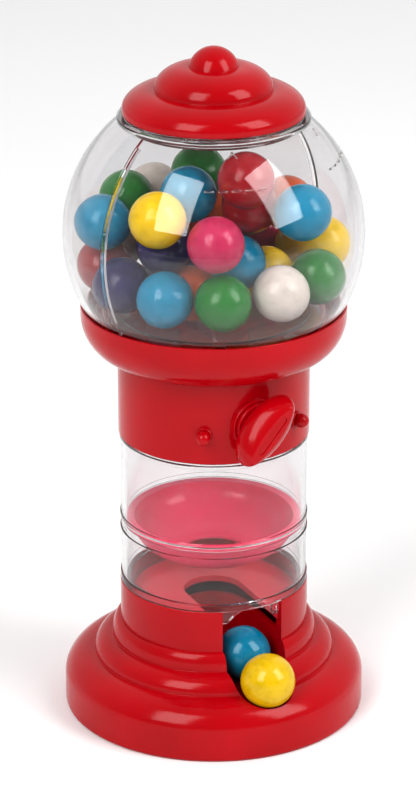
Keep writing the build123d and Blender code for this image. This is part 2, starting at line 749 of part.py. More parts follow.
def make_shell(start_azimuth):
    """Half of the globe, from one seam round to the other, cut level at the neck and at the saucer."""
    seam = section_plane(start_azimuth)
    with BuildPart() as shell:
        with BuildSketch(seam):
            with Locations((0, globe_centre)):
                Circle(globe_radius)
                Circle(inner_globe, mode=Mode.SUBTRACT)
            with Locations((-globe_radius, globe_centre)):
                Rectangle(2 * globe_radius, 4 * globe_radius, mode=Mode.SUBTRACT)
        revolve(axis=Axis.Z, revolution_arc=180)
        add(level_band(globe_bottom, globe_top), mode=Mode.INTERSECT)
        add(make_rib(seam))
    return shell.part


globe_front_shell = make_shell(seam_azimuth)
globe_front_shell.label = "globe_front_shell"
globe_back_shell = make_shell(seam_azimuth + 180)
globe_back_shell.label = "globe_back_shell"

# Neck ring: clips the shells together and takes the lid's lugs in three L-shaped slots
neck_bore = neck_radius - neck_wall
slot_bottom = lug_bottom - lug_gap
slot_top = lug_bottom + lug_height + lug_gap
lug_half_angle = math.degrees((lug_width / 2 + lug_gap) / neck_radius)
lug_count = 3
with BuildPart() as neck_ring:
    with BuildSketch(Plane.XZ):
        wall_section(neck_bore, neck_radius, globe_top - 2, neck_top)
        wall_section(neck_bore, shell_mouth - 2 * fit_gap, globe_top - 2, globe_top)
        wall_section(neck_bore, neck_flange_radius, globe_top, neck_flange_top)
    revolve(axis=Axis.Z)
    for index in range(lug_count):
        start_azimuth = index * 360 / lug_count - lug_half_angle
        with BuildSketch(section_plane(start_azimuth)):
            wall_section(neck_bore - 1, neck_radius + 1, slot_bottom, neck_top + 1)
        revolve(axis=Axis.Z, revolution_arc=2 * lug_half_angle, mode=Mode.SUBTRACT)
        with BuildSketch(section_plane(start_azimuth - lid_turn)):
            wall_section(neck_bore - 1, neck_radius + 1, slot_bottom, slot_top)
        revolve(axis=Axis.Z, revolution_arc=2 * lug_half_angle + lid_turn, mode=Mode.SUBTRACT)
neck_ring.part.label = "neck_ring"

with BuildPart() as lid_seal:
    with BuildSketch(Plane.XZ):
        wall_section(
            neck_radius + 2 * seal_inset, lid_radius - seal_inset, neck_flange_top + seal_gap,
            neck_flange_top + seal_gap + seal_thickness
        )
    revolve(axis=Axis.Z)
lid_seal.part.label = "lid_seal"


def lid_outline(inset, skirt, top_radius, top_rise):
    """Half outline of the lid's two rounded tiers and the round finial."""
    radius = skirt
    height = lid_bottom + lid_side_height
    Polyline((0, lid_bottom), (radius, lid_bottom), (radius, height))
    for tier_radius, tier_rise in zip(lid_tier_radii, lid_tier_rises):
        crease = tier_radius - inset
        tier_top = lid_bottom + tier_rise - inset
        EllipticalCenterArc((crease, height), radius - crease, tier_top - height, start_angle=0, arc_size=90)
        radius = crease
        height = tier_top
    if top_rise:
        Line((radius, height), (top_radius, height))
        # Round cap whose ball is centred on the axis
        cap_radius = (top_radius ** 2 + top_rise ** 2) / (2 * top_rise)
        cap_start = math.degrees(math.asin((cap_radius - top_rise) / cap_radius))
        CenterArc((0, height + top_rise - cap_radius), cap_radius, cap_start, 90 - cap_start)
        Line((0, height + top_rise), (0, lid_bottom))
    else:
        Polyline((radius, height), (0, height), (0, lid_bottom))


# The hollow of the lid, with its lugs left standing
lug_angle = math.degrees(lug_width / neck_radius)
with BuildPart() as lid_space:
    with BuildSketch(Plane.XZ):
        with BuildLine():
            lid_outline(lid_wall, lid_skirt_radius, 0, 0)
        make_face()
    revolve(axis=Axis.Z)
    for index in range(lug_count):
        with BuildSketch(section_plane(index * 360 / lug_count - lug_angle / 2)):
            wall_section(neck_bore + 0.4, lid_skirt_radius + 1, lug_bottom, lug_bottom + lug_height)
        revolve(axis=Axis.Z, revolution_arc=lug_angle, mode=Mode.SUBTRACT)

with BuildPart() as lid:
    with BuildSketch(Plane.XZ):
        with BuildLine():
            lid_outline(0, lid_radius, finial_radius, finial_height)
        make_face()
    revolve(axis=Axis.Z)
    add(lid_space.part, mode=Mode.SUBTRACT)
lid.part.label = "lid"

# Gumballs in the globe: colour, azimuth, distance from the axis and height above the globe's centre
loose_balls = (
    ("green", 4, 31, -10), ("white", 34, 31, -9), ("blue", -25, 30, -10), ("navy", -58, 31, -9),
    ("green", 68, 31, -10), ("yellow", 98, 30, -4), ("red", -92, 31, -7), ("yellow", 128, 31, -10),
    ("pink", 158, 30, -10), ("blue", -172, 30, -10), ("orange", -142, 31, -10), ("white", -116, 30, -9),
    ("orange", -10, 15, -14), ("yellow", 62, 17, -9), ("blue", 26, 16, -6), ("navy", -43, 17, -2),
    ("green", 150, 14, -14), ("navy", -120, 14, -14), ("pink", 1, 31, 7), ("blue", -78, 32, 3),
    ("yellow", -31, 30, 12), ("blue", 53, 30, 12), ("red", 34, 17, 8), ("orange", 118, 24, 4),
    ("green", -104, 25, 8), ("orange", -80, 10, 3), ("white", -139, 26, 6), ("blue", -33, 14, 13),
    ("orange", 173, 13, 3), ("red", 160, 27, 6), ("green", -123, 6, 14), ("red", 24, 23, 21)
)
listed_diameter = 15.6  # ball size that the list is written for
listed_centre_rise = 22.6  # height of the list's zero above the globe floor
settle_rounds = 600


def settle(centres):
    """Push balls apart until none touch, keeping them inside the shells and above the floor."""
    reach = inner_globe - seam_rib_depth - ball_radius - ball_gap
    lowest = globe_floor_top + 1.6 + ball_gap + ball_radius - globe_centre
    spacing = ball_diameter + ball_gap
    for _ in range(settle_rounds):
        for first in range(len(centres)):
            for second in range(first + 1, len(centres)):
                apart = centres[second] - centres[first]
                if apart.length < spacing:
                    push = apart.normalized() * (spacing * 1.001 - apart.length) / 2
                    centres[first] = centres[first] - push
                    centres[second] = centres[second] + push
        for index, centre in enumerate(centres):
            if centre.length > reach:
                centre = centre * (reach / centre.length)
            if centre.Z < lowest:
                centre = Vector(centre.X, centre.Y, lowest)
            centres[index] = centre
    return centres


ball_scale = ball_diameter / listed_diameter
heap_foot = globe_floor_top + listed_centre_rise * ball_scale - globe_centre
start_centres = [
    level_spot(turn, away * ball_scale, heap_foot + rise * ball_scale) for _, turn, away, rise in loose_balls
]
ball_centres = settle(start_centres)
ball_groups = {}
for (colour, _, _, _), centre in zip(loose_balls, ball_centres):
    ball_groups.setdefault(colour, []).append(centre + Vector(0, 0, globe_centre))

# Two dispensed balls: one resting in the tray and one behind it in the chute
tray_ball = level_spot(front_azimuth, tray_distance, tray_bottom + ball_radius + ball_gap)
ball_step = (ball_diameter + ball_gap) / math.hypot(1, chute_slope)
chute_ball = level_spot(
    front_azimuth, tray_distance - ball_step, tray_ball.Z + ball_step * chute_slope + ball_gap
)
ball_groups["tray_yellow"] = [tray_ball]
ball_groups["tray_blue"] = [chute_ball]


def make_balls(name, centres):
    with BuildPart() as balls:
        with Locations(*centres):
            Sphere(ball_radius)
    balls.part.label = name
    return balls.part


finished = [
    base_shell.part, bottom_plate.part, plate_screws, drop_floor.part, lower_tube.part, bowl_plate.part,
    upper_tube.part, head.part, cradle.part, cradle_pins.part, rotor.part, rotor_screw.part, knob.part,
    saucer.part, head_screws, feed_throat.part, globe_floor.part, globe_front_shell, globe_back_shell,
    neck_ring.part, lid_seal.part, lid.part
]
for colour, centres in ball_groups.items():
    finished.append(make_balls("gumballs_" + colour, centres))
for piece in finished:
    export_step(piece, "parts/" + piece.label + ".step")
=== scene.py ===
import bpy
import bmesh
import math
from mathutils import Matrix, Vector, noise


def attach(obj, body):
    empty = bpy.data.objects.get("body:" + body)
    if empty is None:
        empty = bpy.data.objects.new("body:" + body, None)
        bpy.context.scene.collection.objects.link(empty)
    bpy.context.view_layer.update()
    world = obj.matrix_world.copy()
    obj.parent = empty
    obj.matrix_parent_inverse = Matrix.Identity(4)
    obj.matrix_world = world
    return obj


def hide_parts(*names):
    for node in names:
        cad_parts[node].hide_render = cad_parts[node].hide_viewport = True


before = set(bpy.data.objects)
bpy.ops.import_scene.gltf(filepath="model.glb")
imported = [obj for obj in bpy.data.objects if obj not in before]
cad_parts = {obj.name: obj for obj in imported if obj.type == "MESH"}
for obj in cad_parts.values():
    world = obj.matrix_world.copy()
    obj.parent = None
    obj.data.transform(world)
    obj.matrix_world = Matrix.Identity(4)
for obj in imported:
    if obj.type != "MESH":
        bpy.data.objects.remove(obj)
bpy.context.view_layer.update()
print("frame loaded")

# everything below is worked out in millimetres and brought to metres at the end
mm = 0.001
frontTurn = 25.5  # outlet and knob are turned this far from the front towards +X
seamTurn = -47.0  # where the two globe shells meet
smoothest = 192  # steps round the widest turned pieces
past = 1.0  # how far a cutting form runs past what it cuts
tiny = 1e-4  # corners closer than this are one corner


def outward(turn):
    angle = math.radians(turn)
    return Vector((math.sin(angle), -math.cos(angle), 0))


def radialFrame(turn, distance, height, roll=0.0):
    # local X to the right, Y up, Z away from the machine's axis
    facing = outward(turn)
    right = Vector((math.cos(math.radians(turn)), math.sin(math.radians(turn)), 0))
    spot = facing * distance + Vector((0, 0, height))
    turned = Matrix((right, Vector((0, 0, 1)), facing)).transposed().to_4x4()
    return Matrix.Translation(spot) @ turned @ Matrix.Rotation(math.radians(roll), 4, "Z")


def bow(centre, radii, start, end, steps=9):
    # points along an ellipse, angles in degrees
    points = []
    for step in range(steps + 1):
        angle = math.radians(start + (end - start) * step / steps)
        points.append((centre[0] + radii[0] * math.cos(angle), centre[1] + radii[1] * math.sin(angle), 0))
    return points


def softened(corners, steps=3):
    # outline corners given as (across, up, rounding); each rounding becomes a small arc
    outline = []
    count = len(corners)
    for index, corner in enumerate(corners):
        here = Vector((corner[0], corner[1]))
        before = Vector(corners[index - 1][:2])
        after = Vector(corners[(index + 1) % count][:2])
        rounding = corner[2] if len(corner) > 2 else 0
        back = before - here
        ahead = after - here
        if rounding <= 0 or back.length < 1e-6 or ahead.length < 1e-6:
            outline.append(here)
            continue
        half = back.angle(ahead) / 2
        reach = min(rounding / max(math.tan(half), 1e-3), back.length * 0.48, ahead.length * 0.48)
        first = here + back.normalized() * reach
        last = here + ahead.normalized() * reach
        # a holding point on each side keeps long walls flat in their shading
        hold = 0.08
        if back.length * 0.5 > reach + hold:
            outline.append(first + back.normalized() * hold)
        for step in range(steps + 1):
            along = step / steps
            outline.append(first * (1 - along) ** 2 + here * 2 * along * (1 - along) + last * along ** 2)
        if ahead.length * 0.5 > reach + hold:
            outline.append(last + ahead.normalized() * hold)
    return outline


def turnedForm(corners, segments=160, start=0.0, sweep=360.0):
    # spins a closed half outline round the Z axis; (radius, height, rounding) in millimetres
    bm = bmesh.new()
    facing = outward(start)
    spots = [facing * point[0] + Vector((0, 0, point[1])) for point in softened(corners)]
    verts = [bm.verts.new(spot) for spot in spots]
    face = bm.faces.new(verts)
    whole = abs(sweep - 360) < 1e-6
    geometry = list(face.verts) + list(face.edges) + ([] if whole else [face])
    if whole:
        bm.faces.remove(face)
        geometry = list(bm.verts) + list(bm.edges)
    bmesh.ops.spin(
        bm, geom=geometry, cent=(0, 0, 0), axis=(0, 0, 1), angle=math.radians(sweep),
        steps=max(2, round(segments * sweep / 360)), use_merge=whole, use_duplicate=False
    )
    bmesh.ops.remove_doubles(bm, verts=bm.verts, dist=tiny)
    bmesh.ops.dissolve_degenerate(bm, dist=1e-5, edges=bm.edges)
    bmesh.ops.recalc_face_normals(bm, faces=bm.faces)
    return bm


def moved(bm, matrix):
    bmesh.ops.transform(bm, matrix=matrix, verts=bm.verts)
    return bm


def gathered(parts):
    # several forms in one bmesh
    whole = bmesh.new()
    for part in parts:
        mesh = bpy.data.meshes.new("loose")
        part.to_mesh(mesh)
        part.free()
        whole.from_mesh(mesh)
        bpy.data.meshes.remove(mesh)
    return whole


def plainObject(name, bm):
    mesh = bpy.data.meshes.new(name)
    bm.to_mesh(mesh)
    bm.free()
    piece = bpy.data.objects.new(name, mesh)
    bpy.context.scene.collection.objects.link(piece)
    return piece


def combined(base, tool, operation):
    # base and tool are bmeshes; gives back the joined, cut or shared form as a bmesh
    body = plainObject("body", base)
    cutter = plainObject("cutter", tool)
    change = body.modifiers.new("change", "BOOLEAN")
    change.operation = operation
    change.object = cutter
    change.solver = "EXACT"
    bpy.context.view_layer.update()
    settled = body.evaluated_get(bpy.context.evaluated_depsgraph_get())
    result = bmesh.new()
    result.from_mesh(settled.to_mesh())
    for spare in (body, cutter):
        mesh = spare.data
        bpy.data.objects.remove(spare)
        bpy.data.meshes.remove(mesh)
    bmesh.ops.remove_doubles(result, verts=result.verts, dist=tiny)
    gaps = [edge for edge in result.edges if edge.is_boundary]
    if gaps:
        bmesh.ops.holes_fill(result, edges=gaps, sides=8)
    bmesh.ops.recalc_face_normals(result, faces=result.faces)
    return result


def hullOf(bm):
    # closed hull round a form's corners, with nothing left inside
    bmesh.ops.delete(bm, geom=bm.faces[:] + bm.edges[:], context="EDGES_FACES")
    bmesh.ops.remove_doubles(bm, verts=bm.verts, dist=tiny)
    bmesh.ops.convex_hull(bm, input=bm.verts[:], use_existing_faces=False)
    spare = [vert for vert in bm.verts if not vert.link_faces]
    bmesh.ops.delete(bm, geom=spare, context="VERTS")
    bmesh.ops.recalc_face_normals(bm, faces=bm.faces)
    return bm


def roundRod(radius, bottom, top, matrix, segments=64):
    # cylinder from bottom to top along a frame's own Z
    bm = bmesh.new()
    bmesh.ops.create_cone(
        bm, cap_ends=True, segments=segments, radius1=radius, radius2=radius, depth=top - bottom
    )
    bmesh.ops.translate(bm, verts=bm.verts, vec=(0, 0, (top + bottom) / 2))
    return moved(bm, matrix)


def block(size, matrix, rounding=0.0):
    bm = bmesh.new()
    bmesh.ops.create_cube(bm, size=1)
    bmesh.ops.scale(bm, vec=size, verts=bm.verts)
    if rounding:
        bmesh.ops.bevel(
            bm, geom=bm.edges[:], offset=rounding, offset_type="OFFSET", segments=3, profile=0.5,
            affect="EDGES", clamp_overlap=True, material=-1
        )
    return moved(bm, matrix)


def finishPiece(name, bm, material, body, nodes, sharp=32):
    # metres, shading, material and its place on the frame
    loose = [edge for edge in bm.edges if edge.is_wire]  # left on the axis by a spin
    bmesh.ops.delete(bm, geom=loose, context="EDGES")
    bmesh.ops.scale(bm, vec=(mm, mm, mm), verts=bm.verts)
    piece = plainObject(name, bm)
    mesh = piece.data
    mesh.shade_smooth()
    mesh.set_sharp_from_angle(angle=math.radians(sharp))
    mesh.materials.append(material)
    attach(piece, body)
    if nodes:
        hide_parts(*nodes)
    return piece


# materials

def startMaterial(name):
    material = bpy.data.materials.new(name)
    material.use_nodes = True
    tree = material.node_tree
    tree.nodes.clear()
    output = tree.nodes.new("ShaderNodeOutputMaterial")
    shader = tree.nodes.new("ShaderNodeBsdfPrincipled")
    place = tree.nodes.new("ShaderNodeTexCoord")
    tree.links.new(shader.outputs["BSDF"], output.inputs["Surface"])
    return material, tree, shader, place, output


def grainOf(tree, place, scale, detail=2.0, stretch=(1, 1, 1), rough=0.5):
    mapping = tree.nodes.new("ShaderNodeMapping")
    mapping.inputs["Scale"].default_value = stretch
    grain = tree.nodes.new("ShaderNodeTexNoise")
    grain.inputs["Scale"].default_value = scale
    grain.inputs["Detail"].default_value = detail
    grain.inputs["Roughness"].default_value = rough
    tree.links.new(place.outputs["Object"], mapping.inputs["Vector"])
    tree.links.new(mapping.outputs["Vector"], grain.inputs["Vector"])
    return grain.outputs["Fac"]


def spreadOf(tree, value, low, high, fromLow=0.35, fromHigh=0.65):
    spread = tree.nodes.new("ShaderNodeMapRange")
    spread.inputs["From Min"].default_value = fromLow
    spread.inputs["From Max"].default_value = fromHigh
    spread.inputs["To Min"].default_value = low
    spread.inputs["To Max"].default_value = high
    tree.links.new(value, spread.inputs["Value"])
    return spread.outputs["Result"]


def coloursOf(tree, value, stops):
    ramp = tree.nodes.new("ShaderNodeValToRGB")
    elements = ramp.color_ramp.elements
    elements[0].position = stops[0][0]
    elements[0].color = (*stops[0][1], 1)
    elements[1].position = stops[-1][0]
    elements[1].color = (*stops[-1][1], 1)
    for position, colour in stops[1:-1]:
        element = elements.new(position)
        element.color = (*colour, 1)
    tree.links.new(value, ramp.inputs["Fac"])
    return ramp.outputs["Color"]


def bumpOf(tree, value, strength, depth, under=None):
    bump = tree.nodes.new("ShaderNodeBump")
    bump.inputs["Strength"].default_value = strength
    bump.inputs["Distance"].default_value = depth
    tree.links.new(value, bump.inputs["Height"])
    if under is not None:
        tree.links.new(under, bump.inputs["Normal"])
    return bump.outputs["Normal"]


def mouldedRed(name, settings):
    # glossy moulded plastic: faint cloudy flow in the colour, slight orange peel, uneven gloss
    material, tree, shader, place, output = startMaterial(name)
    cloud = grainOf(tree, place, settings["cloudScale"], 3)
    colour = coloursOf(tree, cloud, ((0.3, settings["deepColour"]), (0.7, settings["colour"])))
    tree.links.new(colour, shader.inputs["Base Color"])
    gloss = grainOf(tree, place, settings["glossScale"], 4, rough=0.6)
    tree.links.new(spreadOf(tree, gloss, *settings["roughness"]), shader.inputs["Roughness"])
    ripple = grainOf(tree, place, settings["rippleScale"], 2)
    peel = grainOf(tree, place, settings["peelScale"], 3)
    under = bumpOf(tree, ripple, settings["rippleStrength"], 0.002)
    tree.links.new(bumpOf(tree, peel, settings["peelStrength"], 0.0004, under), shader.inputs["Normal"])
    shader.inputs["IOR"].default_value = 1.49
    shader.inputs["Specular IOR Level"].default_value = settings["specular"]
    return material


def clearStyrene(name, settings):
    # clear moulding: lets the lamps through, faint flow waves and a few hazy patches
    material, tree, shader, place, output = startMaterial(name)
    shader.inputs["Transmission Weight"].default_value = 1.0
    shader.inputs["IOR"].default_value = settings["ior"]
    haze = grainOf(tree, place, settings["hazeScale"], 3)
    tint = coloursOf(tree, haze, ((0.3, settings["tint"]), (0.7, settings["paleTint"])))
    tree.links.new(tint, shader.inputs["Base Color"])
    tree.links.new(spreadOf(tree, haze, *settings["roughness"]), shader.inputs["Roughness"])
    flow = grainOf(tree, place, settings["flowScale"], 1, settings["flowStretch"])
    tree.links.new(bumpOf(tree, flow, settings["flowStrength"], 0.002), shader.inputs["Normal"])
    through = tree.nodes.new("ShaderNodeBsdfTransparent")
    through.inputs["Color"].default_value = (*settings["shadowTint"], 1)
    path = tree.nodes.new("ShaderNodeLightPath")
    blend = tree.nodes.new("ShaderNodeMixShader")
    tree.links.new(path.outputs["Is Shadow Ray"], blend.inputs["Fac"])
    tree.links.new(shader.outputs["BSDF"], blend.inputs[1])
    tree.links.new(through.outputs["BSDF"], blend.inputs[2])
    tree.links.new(blend.outputs["Shader"], output.inputs["Surface"])
    return material


def sugarShell(name, settings):
    # panned sugar shell: mottled colour, small pale freckles, dimples and an uneven wax gloss
    material, tree, shader, place, output = startMaterial(name)
    mottle = grainOf(tree, place, 260, 4, rough=0.65)
    colour = settings["colour"]
    deep = tuple(channel * settings["deepening"] for channel in colour)
    pale = tuple(channel + (1 - channel) * settings["paling"] for channel in colour)
    shade = coloursOf(tree, mottle, ((0.28, deep), (0.5, colour), (0.8, pale)))
    tree.links.new(shade, shader.inputs["Base Color"])
    wax = grainOf(tree, place, 180, 3)
    tree.links.new(spreadOf(tree, wax, *settings["roughness"]), shader.inputs["Roughness"])
    pits = grainOf(tree, place, 700, 2)
    dimples = grainOf(tree, place, 190, 2)
    under = bumpOf(tree, dimples, 0.06, 0.002)
    tree.links.new(bumpOf(tree, pits, 0.05, 0.0006, under), shader.inputs["Normal"])
    shader.inputs["IOR"].default_value = 1.5
    shader.inputs["Specular IOR Level"].default_value = settings["specular"]
    return material


def zincSteel(name):
    material, tree, shader, place, output = startMaterial(name)
    grey = grainOf(tree, place, 900, 4)
    tree.links.new(coloursOf(tree, grey, ((0.3, (0.42, 0.42, 0.43)), (0.7, (0.62, 0.62, 0.61)))),
                   shader.inputs["Base Color"])
    tree.links.new(spreadOf(tree, grey, 0.28, 0.45), shader.inputs["Roughness"])
    tree.links.new(bumpOf(tree, grainOf(tree, place, 2500, 2), 0.1, 0.0002), shader.inputs["Normal"])
    shader.inputs["Metallic"].default_value = 1.0
    return material


redSettings = {
    "colour": (0.45, 0.0, 0.006), "deepColour": (0.38, 0.0, 0.004), "cloudScale": 45,
    "glossScale": 60, "roughness": (0.12, 0.2), "rippleScale": 70, "rippleStrength": 0.05,
    "peelScale": 900, "peelStrength": 0.07, "specular": 0.26
}
clearSettings = {
    "ior": 1.46, "hazeScale": 35, "tint": (0.86, 0.845, 0.85), "paleTint": (0.91, 0.90, 0.905),
    "roughness": (0.0, 0.012), "flowScale": 30, "flowStretch": (1, 1, 0.5), "flowStrength": 0.02,
    "shadowTint": (0.92, 0.93, 0.93)
}
shellColours = {
    "blue": (0.0, 0.20, 0.33), "navy": (0.010, 0.004, 0.065), "green": (0.0, 0.145, 0.008),
    "yellow": (0.68, 0.45, 0.0), "pink": (0.48, 0.03, 0.10), "red": (0.28, 0.0, 0.006),
    "white": (0.56, 0.50, 0.45), "orange": (0.50, 0.07, 0.004)
}
red = mouldedRed("mouldedRed", redSettings)
clear = clearStyrene("clearStyrene", clearSettings)
steel = zincSteel("zincSteel")
shells = {}
for shade, colour in shellColours.items():
    shells[shade] = sugarShell("sugarShell_" + shade, {
        "colour": colour, "deepening": 0.80, "paling": 0.03, "roughness": (0.10, 0.22), "specular": 0.4
    })
print("materials ready")


# base with the chute and its tray

base = {
    "radius": 43.0, "sideHeight": 8.4, "creases": (34.5, 29.3, 27.1), "tops": (16.1, 21.2, 26.4),
    "collarRadius": 26.8, "collarTop": 38.6, "wall": 1.6, "footRounding": 1.2,
    "creaseRounding": 0.35, "rimRounding": 0.3
}
chute = {
    "halfWidth": 9.2, "wall": 1.4, "distance": 35.3, "centreHeight": 21.3, "slope": 0.112,
    "above": 60
}
# drop floor colour and deepColour: a lighter, pinker red than the other red parts, painted light standing in
# for the light that reaches the floor through the clear tube
dropFloor = {
    "top": 34.2, "thickness": 1.8, "ledgeWidth": 1.6, "ledgeDepth": 4,
    "colour": (0.66, 0.03, 0.06), "deepColour": (0.56, 0.02, 0.04)
}


def steppedOutline(inset, lowest, closeTop):
    radius = base["radius"] - inset
    height = base["sideHeight"]
    corners = [(0, lowest, 0), (radius, lowest, 0 if inset else base["footRounding"])]
    for crease, top in zip(base["creases"], base["tops"]):
        inner = crease - inset
        peak = top - inset
        corners += bow((inner, height), (radius - inner, peak - height), 4, 82)
        corners.append((inner, peak, base["creaseRounding"]))
        radius = inner
        height = peak
    collar = base["collarRadius"] - inset
    corners.append((collar, height, 0.15))
    corners.append((collar, closeTop, 0 if inset else base["rimRounding"]))
    corners.append((0, closeTop, 0))
    return corners


def bullet(radius, centre, top, segments=48):
    # round-bottomed upright plug
    bm = bmesh.new()
    bmesh.ops.create_uvsphere(bm, u_segments=segments, v_segments=segments // 2, radius=radius)
    upper = [vert for vert in bm.verts if vert.co.z > tiny]
    bmesh.ops.delete(bm, geom=upper, context="VERTS")
    rim = [edge for edge in bm.edges if edge.is_boundary]
    raised = bmesh.ops.extrude_edge_only(bm, edges=rim)["geom"]
    for vert in raised:
        if isinstance(vert, bmesh.types.BMVert):
            vert.co.z = top - centre.z
    return moved(bm, Matrix.Translation(centre))


def chuteForm(margin):
    # the ball's way out: a round-bottomed plug drawn along the slope from the axis to the tray
    width = chute["halfWidth"] + margin
    top = chute["above"]
    tray = outward(frontTurn) * chute["distance"] + Vector((0, 0, chute["centreHeight"]))
    start = Vector((0, 0, chute["centreHeight"] + chute["distance"] * chute["slope"]))
    return hullOf(gathered((bullet(width, tray, top), bullet(width, start, top))))


def baseForm():
    collarBore = base["collarRadius"] - base["wall"]
    floorBottom = dropFloor["top"] - dropFloor["thickness"]
    outer = turnedForm(steppedOutline(0, 0, base["collarTop"]), smoothest)
    hollow = turnedForm(steppedOutline(base["wall"], -past, floorBottom - dropFloor["ledgeWidth"]), smoothest)
    hollow = combined(hollow, chuteForm(chute["wall"]), "DIFFERENCE")
    form = combined(outer, hollow, "DIFFERENCE")
    # ledge and open collar above it
    ledgeBore = collarBore - base["wall"]
    mouth = turnedForm((
        (0, floorBottom - dropFloor["ledgeDepth"], 0), (ledgeBore, floorBottom - dropFloor["ledgeDepth"], 0),
        (ledgeBore, floorBottom, 0), (collarBore, floorBottom, 0),
        (collarBore, base["collarTop"] + past, 0), (0, base["collarTop"] + past, 0)
    ), smoothest)
    form = combined(form, mouth, "DIFFERENCE")
    return combined(form, chuteForm(0), "DIFFERENCE")


finishPiece("base", baseForm(), red, "machine", ("base_shell",))
print("base done")


# clear tubes and the bowl between them

tube = {
    "radius": 26.4, "wall": 1.4, "joint": 58.0, "bead": 0.3, "footBead": 2.3, "lineBead": (54.1, 55.1),
    "jointBead": 1.3, "topBead": 1.8, "skirtRadius": 25.1, "archRadius": 8.0, "archTop": 38.3,
    "rounding": 0.22, "spigotRadius": 25.3, "spigotTop": 88.8, "lugOffset": 7.9, "lugRise": 0.3,
    "lug": (1.8, 2.4, 1.4), "lugStep": (0.9, 3.6, 1.4), "lugRounding": 0.2, "jointGap": 0.03
}
# bowl colour and deepColour: a lighter, pinker red than the other red parts, painted light standing in for
# the glow and reflection the red bowl takes on under the clear tube
bowl = {
    "holeRadius": 8.6, "depth": 10.8, "wall": 1.2, "flangeRadius": 25.5, "reach": 14.9,
    "colour": (0.80, 0.055, 0.14), "deepColour": (0.70, 0.035, 0.10)
}
head = {
    "radius": 27.0, "bottom": 83.8, "top": 107.5, "wall": 1.6, "rounding": 0.3, "flangeBore": 18.8,
    "bossRadius": 7.4, "bossFace": 28.4, "stemHole": 3.56, "drilled": (10, 40)
}


def lowerTubeForm():
    bore = tube["radius"] - tube["wall"]
    proud = tube["radius"] + tube["bead"]
    skirtBore = tube["skirtRadius"] - tube["wall"]
    soft = tube["rounding"]
    foot = base["collarTop"]
    low, high = tube["lineBead"]
    joint = tube["joint"] - tube["jointGap"]
    seat = tube["joint"] - bowl["wall"]
    seatBore = bowl["flangeRadius"] + 0.1
    form = turnedForm((
        (skirtBore, dropFloor["top"], soft), (tube["skirtRadius"], dropFloor["top"], soft),
        (tube["skirtRadius"], foot, 0), (proud, foot, soft), (proud, foot + tube["footBead"], soft),
        (tube["radius"], foot + tube["footBead"] + 0.1, 0), (tube["radius"], low, 0),
        (proud, low + 0.1, soft), (proud, high - 0.1, soft), (tube["radius"], high, 0),
        (tube["radius"], joint, soft), (seatBore, joint, 0.1), (seatBore, seat, 0),
        (bore, seat, 0.1), (bore, foot + tube["wall"], 0.5), (skirtBore, foot + tube["wall"], soft)
    ), 180)
    archFrame = radialFrame(frontTurn, 0, tube["archTop"] - tube["archRadius"])
    arch = roundRod(tube["archRadius"], 0, tube["radius"] + 2, archFrame)
    form = combined(form, arch, "DIFFERENCE")
    # small stepped lug on the skirt beside the arch
    turn = frontTurn + math.degrees(math.asin(tube["lugOffset"] / skirtBore))
    lugFrame = radialFrame(turn, skirtBore, dropFloor["top"] + tube["lugRise"])
    lugSpot = Matrix.Translation((0, tube["lug"][1] / 2, 0))
    stepSpot = Matrix.Translation((tube["lugStep"][0] / 2, tube["lugStep"][1] / 2, 0.05))
    lug = block(tube["lug"], lugFrame @ lugSpot, tube["lugRounding"])
    step = block(tube["lugStep"], lugFrame @ stepSpot, tube["lugRounding"])
    return combined(form, combined(lug, step, "UNION"), "UNION")


def upperTubeForm():
    bore = tube["radius"] - tube["wall"]
    proud = tube["radius"] + tube["bead"]
    soft = tube["rounding"]
    joint = tube["joint"] + tube["jointGap"]
    neck = head["bottom"] - tube["wall"]
    shoulder = head["bottom"] - 0.05
    return turnedForm((
        (bore, joint, soft), (proud, joint, soft), (proud, joint + tube["jointBead"], soft),
        (tube["radius"], joint + tube["jointBead"] + 0.1, 0),
        (tube["radius"], head["bottom"] - tube["topBead"] - 0.1, 0),
        (proud, head["bottom"] - tube["topBead"], soft), (proud, shoulder, soft),
        (tube["spigotRadius"], shoulder, 0.1), (tube["spigotRadius"], tube["spigotTop"], soft),
        (tube["spigotRadius"] - tube["wall"], tube["spigotTop"], soft),
        (tube["spigotRadius"] - tube["wall"], neck, soft), (bore, neck, 0.3)
    ), 180)


def bowlForm():
    hole = bowl["holeRadius"]
    joint = tube["joint"] - 0.06
    seat = tube["joint"] - bowl["wall"] + 0.03
    outerRise = bowl["depth"] + bowl["wall"]
    stop = math.degrees(math.asin((joint - seat) / outerRise))
    corners = [(hole, joint - outerRise, 0.3)]
    corners += bow((hole, joint), (bowl["reach"], outerRise), 272, 360 - stop, 16)
    corners += [(bowl["flangeRadius"], seat, 0.15), (bowl["flangeRadius"], joint, 0.25)]
    corners += bow((hole, joint), (bowl["reach"] - 0.8, bowl["depth"]), 360, 272, 16)
    corners.append((hole, joint - bowl["depth"], 0.5))
    return turnedForm(corners, 160)


finishPiece("lowerTube", lowerTubeForm(), clear, "machine", ("lower_tube",))
finishPiece("upperTube", upperTubeForm(), clear, "machine", ("upper_tube",))
# the bowl's material is the moulded red made lighter and pinker: painted light
bowlPaintedLightRed = mouldedRed("bowlPaintedLightRed", {
    **redSettings, "colour": bowl["colour"], "deepColour": bowl["deepColour"]
})
finishPiece("bowl", bowlForm(), bowlPaintedLightRed, "machine", ("bowl_plate",))
# the drop floor's material is the moulded red made lighter and pinker: painted light
floorPaintedLightRed = mouldedRed("floorPaintedLightRed", {
    **redSettings, "colour": dropFloor["colour"], "deepColour": dropFloor["deepColour"]
})
print("tubes and bowl done")


# head, pins and knob

